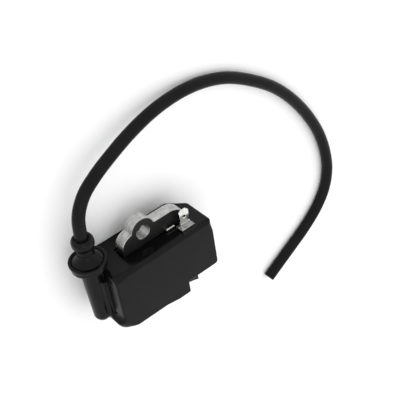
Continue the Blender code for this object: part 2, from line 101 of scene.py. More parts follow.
def object_from(name, vertices, faces, materials, normals=None, indices=None):
    """A piece from vertices in millimetres, riding on the one body."""
    mesh = bpy.data.meshes.new(name)
    mesh.from_pydata((np.asarray(vertices, dtype=float) * MM).tolist(), [], faces)
    for finish in materials:
        mesh.materials.append(finish)
    if indices is not None:
        mesh.polygons.foreach_set("material_index", indices)
    mesh.shade_smooth()
    if normals is not None:
        mesh.normals_split_custom_set_from_vertices(normals)
    mesh.update()
    obj = bpy.data.objects.new(name, mesh)
    bpy.context.scene.collection.objects.link(obj)
    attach(obj, BODY)
    return obj


def surface_nets(value, low, cell):
    """The zero surface of a sampled field, as vertices and outward quads."""
    shape = np.array(value.shape)
    cells = shape - 1
    total = np.zeros((4, int(np.prod(cells))))
    quads = []
    for axis in range(3):
        b, c = (axis + 1) % 3, (axis + 2) % 3
        lower, upper = [slice(None)] * 3, [slice(None)] * 3
        lower[axis], upper[axis] = slice(0, -1), slice(1, None)
        first, last = value[tuple(lower)], value[tuple(upper)]
        crossing = (first < 0) != (last < 0)
        corner = np.argwhere(crossing)
        start, end = first[crossing], last[crossing]
        place = corner.astype(float)
        place[:, axis] += start / (start - end)
        beside = corner[:, [b, c]]
        fits = ((beside > 0) & (beside < cells[[b, c]])).all(1)
        corner, place, leaving = corner[fits], place[fits], start[fits] < 0
        cells_around = []
        for step_b, step_c in ((0, 0), (-1, 0), (-1, -1), (0, -1)):
            around = corner.copy()
            around[:, b] += step_b
            around[:, c] += step_c
            flat = np.ravel_multi_index(around.T, cells)
            for number in range(3):
                total[number] += np.bincount(flat, place[:, number], total.shape[1])
            total[3] += np.bincount(flat, minlength=total.shape[1])
            cells_around.append(flat)
        ring = np.stack(cells_around, 1)
        ring[~leaving] = ring[~leaving][:, ::-1]
        quads.append(ring)
    used = total[3] > 0
    index = np.cumsum(used) - 1
    points = (total[:3, used] / total[3, used]).T * cell + low
    return points, index[np.concatenate(quads)]


def settle(points, field, cell):
    """Moves points onto the field's zero surface, and finds its normals there."""
    small = 0.01
    rounds = 4
    for _ in range(rounds):
        x, y, z = points.T
        value = field(x, y, z)
        slope = np.stack(
            [
                field(x + small, y, z) - value,
                field(x, y + small, z) - value,
                field(x, y, z + small) - value,
            ],
            1,
        )
        slope /= small
        size = np.maximum((slope**2).sum(1), 0.25)
        move = slope * (value / size)[:, None]
        length = np.maximum(np.linalg.norm(move, axis=1), 1e-9)
        points = points - move * np.minimum(1.0, 0.5 * cell / length)[:, None]
    return points, slope / np.linalg.norm(slope, axis=1)[:, None]


def solid_from_field(name, field, low, high, cell, materials, pick=None):
    """A closed mesh of where a signed distance field is negative, with the field's own normals."""
    margin = 2 * cell
    low = np.array(low, dtype=float) - margin
    high = np.array(high, dtype=float) + margin
    axes = [np.arange(a, b + cell, cell) for a, b in zip(low, high)]
    x, y, z = np.meshgrid(*axes, indexing="ij", sparse=True)
    value = np.broadcast_to(field(x, y, z), [len(a) for a in axes])
    points, quads = surface_nets(value, low, cell)
    points, normals = settle(points, field, cell)
    indices = None if pick is None else pick(points[quads].mean(1)).astype(np.int32)
    return object_from(name, points, quads.tolist(), materials, normals, indices)


# ---------------------------------------------------------------- signed distance fields


def both(a, b, radius=0.0):
    """Where two shapes overlap, with its edges rounded to a radius."""
    if np.max(radius) <= 0:
        return np.maximum(a, b)
    u, v = np.maximum(a + radius, 0), np.maximum(b + radius, 0)
    return np.minimum(np.maximum(a, b), -radius) + np.sqrt(u * u + v * v)


def either(a, b, radius=0.0):
    """Two shapes joined, with a fillet of a radius between them."""
    return -both(-a, -b, radius)


def without(a, b, radius=0.0):
    """The first shape with the second cut away."""
    return both(a, -b, radius)


def polygon(x, y, points):
    """Signed distance to a closed polygon in the plane of x and y."""
    nearest, sign = np.inf, 1.0
    for (ax, ay), (bx, by) in zip(points, points[1:] + points[:1]):
        ex, ey = bx - ax, by - ay
        wx, wy = x - ax, y - ay
        along = np.clip((wx * ex + wy * ey) / (ex * ex + ey * ey), 0, 1)
        nearest = np.minimum(nearest, (wx - ex * along) ** 2 + (wy - ey * along) ** 2)
        above, below, left = y >= ay, y < by, ex * wy > ey * wx
        crosses = (above & below & left) | (~above & ~below & ~left)
        sign = np.where(crosses, -sign, sign)
    return sign * np.sqrt(nearest)


def brick(x, y, z, low, high, radius=0.0):
    """Signed distance to a box with rounded edges."""
    d = [abs(v - (a + b) / 2) - (b - a) / 2 + radius for v, a, b in zip((x, y, z), low, high)]
    outside = sum(np.maximum(v, 0) ** 2 for v in d)
    inside = np.minimum(np.maximum(np.maximum(d[0], d[1]), d[2]), 0)
    return np.sqrt(outside) + inside - radius


def disc(radial, y, size, low, high, radius=0.0):
    """A round plate about the tower's axis, from one height to another."""
    return both(radial - size, abs(y - (low + high) / 2) - (high - low) / 2, radius)


def smooth_step(v, start, end):
    """Rises smoothly from 0 to 1 between two values."""
    t = np.clip((v - start) / (end - start), 0, 1)
    return t * t * (3 - 2 * t)


# ---------------------------------------------------------------- outlines


def arc(x, y, radius, start, end, steps):
    """Points on an arc about (x, y), from one angle in degrees to another."""
    angles = np.radians(np.linspace(start, end, steps + 1))
    return [(x + radius * math.cos(a), y + radius * math.sin(a)) for a in angles]


def softened(points, radii, steps=8):
    """A closed outline with each corner turned into an arc of its own radius, or kept at 0."""
    result = []
    count = len(points)
    for number, (point, radius) in enumerate(zip(points, radii)):
        if radius <= 0:
            result.append(tuple(point))
            continue
        here = Vector(point)
        before = (Vector(points[number - 1]) - here).normalized()
        after = (Vector(points[(number + 1) % count]) - here).normalized()
        half = before.angle(after) / 2
        reach = radius / math.tan(half)
        middle = here + (before + after).normalized() * (radius / math.sin(half))
        first, last = here + before * reach - middle, here + after * reach - middle
        turn = first.angle_signed(last)
        for step in range(steps + 1):
            angle = -turn * step / steps
            cosine, sine = math.cos(angle), math.sin(angle)
            spot = Vector((first.x * cosine - first.y * sine, first.x * sine + first.y * cosine))
            result.append(tuple(middle + spot))
    return result


# ---------------------------------------------------------------- materials


def tree_of(name, **values):
    """A new material's nodes, with its Principled shader's uniform values set."""
    made = bpy.data.materials.new(name)
    made.use_nodes = True
    tree = made.node_tree
    shader = tree.nodes["Principled BSDF"]
    for key, value in values.items():
        shader.inputs[key.replace("_", " ")].default_value = value
    return made, tree, shader


def node(tree, kind, **settings):
    """A new shader node, with its properties or its sockets' values set."""
    made = tree.nodes.new("ShaderNode" + kind)
    for key, value in settings.items():
        if hasattr(made, key):
            setattr(made, key, value)
        else:
            made.inputs[key.replace("_", " ")].default_value = value
    return made


def noise(tree, place, scale, detail=3.0, roughness=0.5):
    """Noise from 0 to 1, with its scale in waves per metre."""
    made = node(tree, "TexNoise", Scale=scale, Detail=detail, Roughness=roughness)
    tree.links.new(place, made.inputs["Vector"])
    return made.outputs["Fac"]


def ramp(tree, value, stops):
    """Maps a value to colours or greys through (position, colour) stops."""
    made = node(tree, "ValToRGB")
    elements = made.color_ramp.elements
    while len(elements) < len(stops):
        elements.new(0.5)
    for element, (position, colour) in zip(elements, stops):
        element.position = position
        element.color = (*colour, 1.0) if len(colour) == 3 else (*(colour * 3), 1.0)
    tree.links.new(value, made.inputs["Fac"])
    return made.outputs["Color"]


def bump(tree, shader, height, strength, distance):
    """Lets a height, with its distance in metres, tilt the shader's normal."""
    made = node(tree, "Bump", Strength=strength, Distance=distance)
    tree.links.new(height, made.inputs["Height"])
    tree.links.new(made.outputs["Normal"], shader.inputs["Normal"])


def coordinates(tree, scale=(1.0, 1.0, 1.0)):
    """The place on the object in metres, stretched along each axis by the scale."""
    place = node(tree, "TexCoord")
    mapping = node(tree, "Mapping")
    mapping.inputs["Scale"].default_value = scale
    tree.links.new(place.outputs["Object"], mapping.inputs["Vector"])
    return mapping.outputs["Vector"]


def mixed(tree, a, b, amount):
    """The first value with an amount of the second added."""
    made = node(tree, "Math", operation="MULTIPLY_ADD")
    tree.links.new(b, made.inputs[0])
    made.inputs[1].default_value = amount
    tree.links.new(a, made.inputs[2])
    return made.outputs["Value"]


def plastic(name, dark, light, rough, specular, grain=2600.0):
    """Moulded plastic or rubber: clouded colour, uneven gloss and a fine grain."""
    depth = 0.00002
    made, tree, shader = tree_of(name, Specular_IOR_Level=specular)
    place = coordinates(tree)
    cloud = noise(tree, place, 90.0, 4.0)
    tree.links.new(ramp(tree, cloud, [(0.3, dark), (0.7, light)]), shader.inputs["Base Color"])
    gloss = noise(tree, place, 240.0, 5.0, 0.6)
    low, high = rough
    tree.links.new(ramp(tree, gloss, [(0.3, (low,)), (0.7, (high,))]), shader.inputs["Roughness"])
    bump(tree, shader, mixed(tree, noise(tree, place, grain), gloss, 0.8), 0.35, depth)
    return made


def metal(name, dark, light, rough, scratches=(300.0, 300.0, 3000.0)):
    """Bare metal with streaks in one direction."""
    depth = 0.00001
    made, tree, shader = tree_of(name, Metallic=1.0)
    streak = noise(tree, coordinates(tree, scratches), 1.0, 4.0)
    cloud = noise(tree, coordinates(tree), 500.0, 3.0)
    value = mixed(tree, streak, cloud, 0.6)
    tree.links.new(ramp(tree, value, [(0.55, dark), (1.0, light)]), shader.inputs["Base Color"])
    low, high = rough
    tree.links.new(ramp(tree, value, [(0.5, (high,)), (1.0, (low,))]), shader.inputs["Roughness"])
    bump(tree, shader, streak, 0.3, depth)
    return made


def darken_near_pocket(made):
    """Turns the metal black and matte in a band of heights, where the core stands in its pocket."""
    tree = made.node_tree
    shader = tree.nodes["Principled BSDF"]
    parts = node(tree, "SeparateXYZ")
    tree.links.new(coordinates(tree), parts.inputs["Vector"])
    reach = 0.05
    height = node(tree, "MapRange", From_Min=-reach, From_Max=reach)
    tree.links.new(parts.outputs["Y"], height.inputs["Value"])
    ragged = noise(tree, coordinates(tree), 700.0, 2.0)
    level = mixed(tree, height.outputs["Result"], ragged, 0.004)
    # The mask is 0 (dark) from Y = -10 mm to about Y = 11 mm, with a ragged edge, and 1 elsewhere.
    stops = [(0.39, (1.0,)), (0.40, (0.0,)), (0.609, (0.0,)), (0.616, (1.0,))]
    bare = ramp(tree, level, stops)
    # The dark, matte, non-metallic values that the band takes.
    for socket, coated in (("Base Color", 0.008), ("Roughness", 0.30), ("Metallic", 0.0)):
        blend = node(tree, "Mix", data_type="RGBA")
        blend.inputs["A"].default_value = (coated, coated, coated, 1.0)
        blend.inputs["B"].default_value = (1.0, 1.0, 1.0, 1.0)
        source = shader.inputs[socket]
        if source.is_linked:
            tree.links.new(source.links[0].from_socket, blend.inputs["B"])
        tree.links.new(bare, blend.inputs["Factor"])
        tree.links.new(blend.outputs["Result"], source)


def grey(value):
    return (value, value, value)


moulding = plastic(
    "moulding_black", (0.0025, 0.0025, 0.0027), (0.0042, 0.0042, 0.0045), (0.13, 0.21), 0.13
)
rubber = plastic("rubber_black", grey(0.0030), grey(0.0055), (0.18, 0.30), 0.11, 1800.0)
jacket = plastic("lead_jacket_black", grey(0.0060), grey(0.0085), (0.26, 0.38), 0.07, 1500.0)
resin = plastic("resin_black", (0.012, 0.011, 0.010), (0.020, 0.018, 0.016), (0.16, 0.30), 0.5, 700.0)
coating = plastic("core_coating", grey(0.009), grey(0.014), (0.30, 0.42), 0.16, 2200.0)
steel = metal("lamination_edge", (0.30, 0.30, 0.295), (0.56, 0.56, 0.55), (0.20, 0.36))
darken_near_pocket(steel)
tinned = metal(
    "tinned_brass", (0.62, 0.62, 0.60), (0.86, 0.86, 0.84), (0.14, 0.30), (900.0, 250.0, 900.0)
)
# The foot's copy of the tinned brass: rougher, and darker in colour as painted shade.
shaded_rough_tin = metal(
    "tinned_brass_shaded_rough", (0.20, 0.20, 0.195), (0.46, 0.46, 0.45), (0.22, 0.40), (250.0, 900.0, 2400.0)
)
strand = metal("tinned_copper_strand", (0.55, 0.50, 0.46), (0.80, 0.74, 0.68), (0.22, 0.40))
brass = metal("contact_brass", (0.58, 0.41, 0.14), (0.78, 0.58, 0.25), (0.22, 0.38))


def winding(name, dark, light, turns):
    """Enamelled wire laid in turns along Y."""
    made, tree, shader = tree_of(name, Metallic=0.85, Coat_Weight=0.6, Coat_Roughness=0.2)
    wave = node(tree, "TexWave", wave_type="BANDS", bands_direction="Y", Scale=turns, Distortion=0.6)
    tree.links.new(coordinates(tree), wave.inputs["Vector"])
    colour = ramp(tree, wave.outputs["Fac"], [(0.1, dark), (0.8, light)])
    tree.links.new(colour, shader.inputs["Base Color"])
    shader.inputs["Roughness"].default_value = 0.35
    bump(tree, shader, wave.outputs["Fac"], 0.8, 0.00006)
    return made


thick_wire = winding("primary_wire", (0.28, 0.09, 0.03), (0.66, 0.27, 0.11), 900.0)
fine_wire = winding("secondary_wire", (0.33, 0.12, 0.04), (0.62, 0.28, 0.12), 3200.0)
bobbin_plastic = plastic("bobbin_nylon", (0.60, 0.57, 0.48), (0.68, 0.65, 0.56), (0.38, 0.52), 0.45)
board_green = plastic("board_laminate", (0.02, 0.12, 0.05), (0.04, 0.20, 0.08), (0.26, 0.42), 0.5, 900.0)
component = plastic("component_dip", (0.05, 0.08, 0.22), (0.09, 0.13, 0.32), (0.24, 0.40), 0.5, 600.0)
semiconductor = plastic("semiconductor_case", (0.012, 0.012, 0.013), grey(0.02), (0.40, 0.55), 0.4)


# ---------------------------------------------------------------- lead

LEAD_RADIUS = 2.5
LEAD_REST = LEAD_RADIUS + 0.1
LEAD_ROUTE = [
    (TOWER_X, 0.0, TOWER_Z),
    (TOWER_X, 10.0, TOWER_Z),
    (TOWER_X, 20.0, TOWER_Z),
    (-21.3, 28.0, TOWER_Z),
    (-20.0, 35.5, 10.9),
    (-16.0, 42.0, 10.6),
    (-9.5, 46.5, 9.9),
    (-1.0, 50.2, 8.8),
    (10.0, 53.6, 7.1),
    (22.5, 55.8, 5.3),
    (35.5, 56.0, 3.8),
    (48.0, 54.1, 2.9),
    (60.0, 49.8, LEAD_REST),
    (72.0, 42.4, LEAD_REST),
    (83.0, 33.4, LEAD_REST),
    (92.5, 22.4, LEAD_REST),
    (100.5, 9.9, LEAD_REST),
    (106.5, -3.0, LEAD_REST),
    (109.8, -15.5, LEAD_REST),
    (110.4, -26.5, LEAD_REST),
    (107.8, -36.2, LEAD_REST),
    (102.0, -44.4, LEAD_REST),
    (93.5, -51.5, LEAD_REST),
    (83.0, -58.0, LEAD_REST),
    (68.9, -66.5, LEAD_REST),
]


def smooth_route(points, spacing):
    """Points about one spacing apart on a Catmull-Rom curve through the route."""
    route = [Vector(p) for p in points]
    route = [2 * route[0] - route[1], *route, 2 * route[-1] - route[-2]]
    found = []
    for a, b, c, d in zip(route, route[1:], route[2:], route[3:]):
        steps = max(1, round((c - b).length / spacing))
        for step in range(steps):
            t = step / steps
            bend = (2 * a - 5 * b + 4 * c - d) * t * t + (3 * b - a - 3 * c + d) * t**3
            found.append((2 * b + (c - a) * t + bend) / 2)
    found.append(route[-2])
    return found


def frames_along(points):
    """At each point, two directions square to the path that don't twist along it."""
    side = None
    result = []
    for number, point in enumerate(points):
        ahead = points[min(number + 1, len(points) - 1)] - points[max(number - 1, 0)]
        ahead.normalize()
        if side is None:
            side = ahead.orthogonal()
        side = (side - ahead * side.dot(ahead)).normalized()
        result.append((side.copy(), ahead.cross(side), ahead))
    return result


def ring_faces(rings, steps):
    """Quads between successive rings of vertices, counter-clockwise from outside."""
    faces = []
    for ring in range(rings - 1):
        base = ring * steps
        for step in range(steps):
            after = (step + 1) % steps
            faces.append((base + step, base + after, base + steps + after, base + steps + step))
    return faces


def make_lead():
    """The jacket with its cut end, and the strands that the end shows."""
    route = smooth_route(LEAD_ROUTE, 1.0)
    axes = frames_along(route)
    sharp = math.radians(50)
    steps, bore, depth, edge = 40, 0.72, 2.0, 0.18
    last = len(route) - 1
    rings = [(number, LEAD_RADIUS, 0.0) for number in range(last)]
    rings.append((last, LEAD_RADIUS, -edge))
    rings += [
        (last, LEAD_RADIUS - 0.05, -0.06),
        (last, LEAD_RADIUS - edge, 0.0),
        (last, 1.6, 0.02),
        (last, bore + 0.08, 0.0),
        (last, bore, -0.1),
        (last, bore, -depth),
    ]
    vertices = []
    for number, radius, shift in rings:
        across, up, ahead = axes[number]
        middle = route[number] + ahead * shift
        for step in range(steps):
            angle = 2 * math.pi * step / steps
            vertices.append(middle + radius * (across * math.cos(angle) + up * math.sin(angle)))
    faces = ring_faces(len(rings), steps)
    faces.append(tuple(reversed(range(steps))))
    faces.append(tuple(range(len(vertices) - steps, len(vertices))))
    lead = object_from("lead_jacket", vertices, faces, [jacket])
    lead.data.set_sharp_from_angle(angle=sharp)
    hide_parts("high_tension_lead")

    across, up, ahead = axes[last]
    places = [(0.0, 0.0)]
    for count, radius in ((6, 0.29), (12, 0.57)):
        places += [
            (radius * math.cos(2 * math.pi * i / count), radius * math.sin(2 * math.pi * i / count))
            for i in range(count)
        ]
    vertices, faces = [], []
    wire, sides, uneven, spread = 0.135, 12, 0.08, 2.4
    for number, (u, v) in enumerate(places):
        out = uneven * math.sin(spread * number)
        base = len(vertices)
        for radius, shift in ((wire, -depth + 0.1), (wire, out - 0.03), (wire - 0.03, out)):
            for step in range(sides):
                angle = 2 * math.pi * step / sides
                a, b = u + radius * math.cos(angle), v + radius * math.sin(angle)
                vertices.append(route[last] + ahead * shift + across * a + up * b)
        faces += [tuple(base + i for i in face) for face in ring_faces(3, sides)]
        faces.append(tuple(base + i for i in reversed(range(sides))))
        faces.append(tuple(base + 2 * sides + i for i in range(sides)))
    strands = object_from("lead_strands", vertices, faces, [strand])
    strands.data.set_sharp_from_angle(angle=sharp)


make_lead()


# ---------------------------------------------------------------- boot


def lathe(name, profile, finish, steps=96):
    """A closed shape turned about the tower's axis, from (radius, y) points run top to bottom."""
    vertices = []
    for radius, y in profile:
        for step in range(steps):
            angle = 2 * math.pi * step / steps
            x, z = radius * math.cos(angle), radius * math.sin(angle)
            vertices.append((TOWER_X + x, y, TOWER_Z + z))
    count = len(profile)
    faces = ring_faces(count, steps)
    last = (count - 1) * steps
    for step in range(steps):
        after = (step + 1) % steps
        faces.append((last + step, last + after, after, step))
    obj = object_from(name, vertices, faces, [finish])
    obj.data.set_sharp_from_angle(angle=math.radians(40))
    return obj


def make_boot():
    """The boot: a flared base in the collar, a neck, and a bead round the lead at its mouth."""
    inside = LEAD_RADIUS + 0.02
    base, neck, mouth, bead = 6.0, 3.25, 3.7, 4.4
    seat = COLLAR_TOP - 0.75
    corners = [
        (inside, BOOT_TOP, 0.0),
        (mouth, BOOT_TOP, 0.5),
        (bead, BOOT_TOP - 1.3, 1.6),
        (bead, BOOT_TOP - 3.2, 1.4),
        (neck + 0.05, BOOT_TOP - 4.9, 1.6),
        (neck, COLLAR_TOP + 2.6, 2.2),
        (base - 1.1, COLLAR_TOP + 0.75, 1.2),
        (base, COLLAR_TOP - 0.05, 0.25),
        (base, seat, 0.1),
        (inside, seat, 0.0),
    ]
    profile = softened([c[:2] for c in corners], [c[2] for c in corners])
    profile[0] = (inside, BOOT_TOP - 0.35)
    profile.insert(1, (inside + 0.3, BOOT_TOP))
    boot = lathe("boot", profile, rubber)
    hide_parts("lead_boot")


make_boot()


# ---------------------------------------------------------------- housing

LEFT = -20.4
TERMINAL_FACE = 8.25
LOWER_FACE = -19.7
NOTCH_X, NOTCH_FACE = 13.6, -15.05
WALL = 1.6
CHAMFER = 6.6
LEG_WIDTH = 8.1
GAP = 0.3
BLADE_FRONT = 16.5
# The front face's edge: its radius in general, on the terminal side and at the left side
FRONT_RADIUS, TERMINAL_SIDE_RADIUS, LEFT_SIDE_RADIUS = 0.5, 1.8, 2.8
# The step beside the tower: its ledge's height, its wall's foot and top, and its lower end
LEDGE, LEDGE_X, WALL_TOP_X, STEP_END = 15.9, -18.9, -17.9, -14.2
# The tower
BARREL_RADIUS, BARREL_TAPER, BARREL_END = 4.3, 0.8, -13.0
COLLAR_RADIUS, RIM_RADIUS, COLLAR_BOTTOM = 7.0, 7.5, 11.6
PLAN = softened(
    [
        (LEFT, TERMINAL_FACE),
        (LEFT, LOWER_FACE),
        (1.6, LOWER_FACE),
        (7.6, shell_low.y),
        (NOTCH_X, shell_low.y),
        (NOTCH_X, NOTCH_FACE),
        (RIGHT, NOTCH_FACE),
        (RIGHT, TERMINAL_FACE),
    ],
    [0.7, 6.2, 4.0, 4.0, 0.6, 0.5, 1.5, 0.8],
    16,
)
INNER_LEFT = -13.1
INNER_PLAN = softened(
    [
        (INNER_LEFT, TERMINAL_FACE - WALL),
        (INNER_LEFT, LOWER_FACE + WALL),
        (NOTCH_X - WALL, LOWER_FACE + WALL),
        (NOTCH_X - WALL, NOTCH_FACE + WALL),
        (RIGHT - WALL, NOTCH_FACE + WALL),
        (RIGHT - WALL, TERMINAL_FACE - WALL),
    ],
    [0.8, 0.8, 0.8, 0.0, 0.8, 0.8],
    4,
)


def chamfer_plane(x, z, inset=0.0):
    """The slope along the right edge of the back, drawn in by an inset."""
    return (x - z - (RIGHT - CHAMFER)) / math.sqrt(2) + inset


def inner_field(x, y, z, inset=0.0):
    """The space inside the walls, without its front and back, drawn in by an inset."""
    plan = polygon(x, y, INNER_PLAN) + inset
    return both(plan, chamfer_plane(x, z, WALL + inset), 0.5)


def tower_field(x, y, z):
    """The barrel, its domed end and the collar with its two rings, and the distance to its axis."""
    radial = np.sqrt((x - TOWER_X) ** 2 + (z - TOWER_Z) ** 2)
    downwards = np.clip((COLLAR_TOP - y) / (COLLAR_TOP - BARREL_END), 0, 1)
    size = BARREL_RADIUS - BARREL_TAPER * downwards
    below = np.maximum(BARREL_END - y, 0)
    barrel = both(np.sqrt(radial**2 + below**2) - size, y - COLLAR_TOP + 1.0)
    ring = disc(radial, y, COLLAR_RADIUS, COLLAR_BOTTOM, COLLAR_TOP - 0.9, 0.35)
    rim = disc(radial, y, RIM_RADIUS, COLLAR_TOP - 1.3, COLLAR_TOP, 0.3)
    collar = either(ring, rim, 0.12)
    return either(barrel, collar, 0.7), radial


def body_field(x, y, z):
    """The block, with its front edges rounded, its chamfer and the step beside the tower."""
    left_side = 1 - smooth_step(x, -16.6, -12.0)
    terminal_side = smooth_step(y, 1.5, 6.0)
    front_radius = FRONT_RADIUS + (TERMINAL_SIDE_RADIUS - FRONT_RADIUS) * terminal_side
    front_radius = front_radius + (LEFT_SIDE_RADIUS - front_radius) * left_side
    body = both(polygon(x, y, PLAN), z - THICKNESS, front_radius)
    body = both(body, -z, 0.35)
    body = both(body, chamfer_plane(x, z), 0.7)

    lean, height = WALL_TOP_X - LEDGE_X, THICKNESS - LEDGE
    wall = ((x - LEDGE_X) * height - (z - LEDGE) * lean) / math.hypot(lean, height)
    step = both(wall, LEDGE - z, 0.4)
    step = both(step, STEP_END - y, 2.5)
    body = without(body, step, 0.8)
    gap = brick(x, y, z, (-30.0, 4.6, 11.5), (LEDGE_X + 0.4, 20.0, 30.0), 0.5)
    return without(body, gap, 0.3)


def openings(x, y, z, radial):
    """What is cut from the shell, each with the radius that its edges get."""
    cavity = both(inner_field(x, y, z), z - THICKNESS + WALL, 0.6)
    yield cavity, 0.25
    yield disc(radial, y, 6.3, COLLAR_TOP - 1.0, COLLAR_TOP + 3, 0.1), 0.2
    yield either(disc(radial, y, 2.8, -3.0, 17.0), disc(radial, y, 2.4, -12.0, 0.0)), 0.1
    pocket = (core_low.x - 0.7, 7.45, 7.1), (core_high.x + 0.7, 12.0, core_high.z + 0.6)
    yield brick(x, y, z, *pocket, 0.25), 0.3
    for start in (core_low.x, core_high.x - LEG_WIDTH):
        low = (start - GAP, -25.0, core_low.z - GAP)
        high = (start + LEG_WIDTH + GAP, 12.0, core_high.z + GAP)
        yield brick(x, y, z, low, high, 0.1), 0.1
    blade_slot = (18.2, 5.0, 15.4), (21.9, 12.0, BLADE_FRONT + GAP)
    yield brick(x, y, z, *blade_slot, 0.1), 0.1
    strap_slot = (13.3, 5.0, 14.3), (15.3, 12.0, 15.4)
    yield brick(x, y, z, *strap_slot, 0.1), 0.1
    wire_passage = (-22.0, -11.2, 9.4), (-12.0, -8.2, 11.4)
    yield brick(x, y, z, *wire_passage, 0.2), 0.0


def housing_field(x, y, z):
    """The whole moulding: the block, the tower and the rim in front of the terminal, cut open."""
    tower, radial = tower_field(x, y, z)
    shell = either(body_field(x, y, z), tower, 0.7)
    rim = brick(x, y, z, (15.4, 6.0, 20.0), (22.6, 9.15, 20.8), 0.22)
    shell = either(shell, rim, 0.12)
    for opening, edge_radius in openings(x, y, z, radial):
        shell = without(shell, opening, edge_radius)
    return shell


def make_housing():
    cell = 0.26
    shell = solid_from_field("housing", housing_field, shell_low, shell_high, cell, [moulding])
    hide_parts("housing_shell")


def resin_field(x, y, z):
    """The resin with the meniscus that it leaves along the walls, and a faint swell."""
    edge = inner_field(x, y, z, -0.02)
    swell, ripple, climb, width = 0.06, 0.03, 0.30, 0.9
    wave = swell * np.sin(0.31 * x + 0.7) * np.sin(0.37 * y + 1.9) + ripple * np.sin(0.9 * x - 0.7 * y)
    level = resin_low.z + 0.25 + wave - climb * np.exp(np.minimum(edge, 0) / width)
    return both(both(edge, 0.9 * (level - z), 0.3), z - resin_high.z, 0.2)


def make_resin():
    cell = 0.34
    spread = Vector((1.0, 1.0, 0.0))
    slab = solid_from_field("resin", resin_field, resin_low - spread, resin_high + spread, cell, [resin])
    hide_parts("potting_resin")


make_housing()
make_resin()


# ---------------------------------------------------------------- core

EAR_X, EAR_Y, EAR_RADIUS = 2.6, 14.85, 5.25
EAR_HOLE_X, EAR_HOLE_Y = 2.5, 14.1
VALLEY_RADIUS = 0.9
YOKE_TOP, YOKE_BOTTOM = 15.5, 7.75
LEG_EAR_X, LEG_EAR_Y, LEG_EAR_LEFT = 18.6, -20.3, 13.9
BOLT_HOLE_RADIUS = 3.05
POLE_TIP, POLE_RADIUS = -26.5, 48.0
SHEETS = 10
OUTER_EDGE, INNER_EDGE, EDGE_RISE = 0.12, 0.05, 0.06


def pole_face(first_x, last_x, steps):
    """The hollow arc of a leg's end, which faces the flywheel, from one x to another."""
    middle = (core_low.x + core_high.x) / 2
    centre = POLE_TIP - math.sqrt(POLE_RADIUS**2 - (core_high.x - middle) ** 2)
    ends = [math.degrees(math.acos((x - middle) / POLE_RADIUS)) for x in (first_x, last_x)]
    return arc(middle, centre, POLE_RADIUS, *ends, steps)


def valley(side, radius):
    """The fillet between the ear and the yoke's top edge on one side, as an arc from yoke to ear."""
    reach = EAR_RADIUS + radius
    centre_y = YOKE_TOP + radius
    centre_x = EAR_X + side * math.sqrt(reach**2 - (centre_y - EAR_Y) ** 2)
    towards = math.degrees(math.atan2(EAR_Y - centre_y, EAR_X - centre_x))
    return centre_x, centre_y, radius, towards


def core_outline():
    """The lamination's outline, counter-clockwise, with a fillet at each side of the ear."""
    left_corner, right_corner = 5.0, 8.0
    left_inside, right_inside = core_low.x + LEG_WIDTH, core_high.x - LEG_WIDTH
    shoulder = LEG_EAR_Y + 4.95
    points = arc(core_low.x + left_corner, YOKE_TOP - left_corner, left_corner, 180, 95, 14)
    x, y, radius, towards = valley(-1, VALLEY_RADIUS)
    points += arc(x, y, radius, -90, towards, 8)
    start = math.degrees(math.atan2(y - EAR_Y, x - EAR_X))
    x, y, radius, towards = valley(1, VALLEY_RADIUS)
    end = math.degrees(math.atan2(y - EAR_Y, x - EAR_X))
    points += arc(EAR_X, EAR_Y, EAR_RADIUS, start, end, 40)[1:-1]
    points += arc(x, y, radius, towards % 360, 270, 8)
    points += arc(core_high.x - right_corner, YOKE_TOP - right_corner, right_corner, 90, 0, 20)
    points += pole_face(core_high.x, LEG_EAR_LEFT, 8)
    points += [(LEG_EAR_LEFT, shoulder), (right_inside, shoulder)]
    points += [(right_inside, YOKE_BOTTOM), (left_inside, YOKE_BOTTOM)]
    points += pole_face(left_inside, core_low.x, 8)
    return points[::-1]


def drawn_in(points, amount):
    """An outline moved inwards, for one that runs counter-clockwise."""
    count = len(points)
    result = []
    for number in range(count):
        a, b, c = (Vector(points[(number + i) % count]) for i in (-1, 0, 1))
        first, second = (b - a).normalized(), (c - b).normalized()
        normal = Vector((-first.y - second.y, first.x + second.x)).normalized()
        stretch = min(1.0 / max(0.4, normal.dot(Vector((-first.y, first.x)))), 2.0)
        result.append(tuple(b + normal * (amount * stretch)))
    return result


def stack_levels():
    """(height, inset) of each ring up the stack: every sheet has two soft edges and a groove."""
    thick = (core_high.z - core_low.z) / SHEETS
    levels = []
    for sheet in range(SHEETS):
        low = core_low.z + thick * sheet
        bottom = OUTER_EDGE if sheet == 0 else INNER_EDGE
        top = OUTER_EDGE if sheet == SHEETS - 1 else INNER_EDGE
        levels += [(low, bottom), (low + EDGE_RISE, 0.0)]
        levels += [(low + thick - EDGE_RISE, 0.0), (low + thick - 0.001, top)]
    return levels


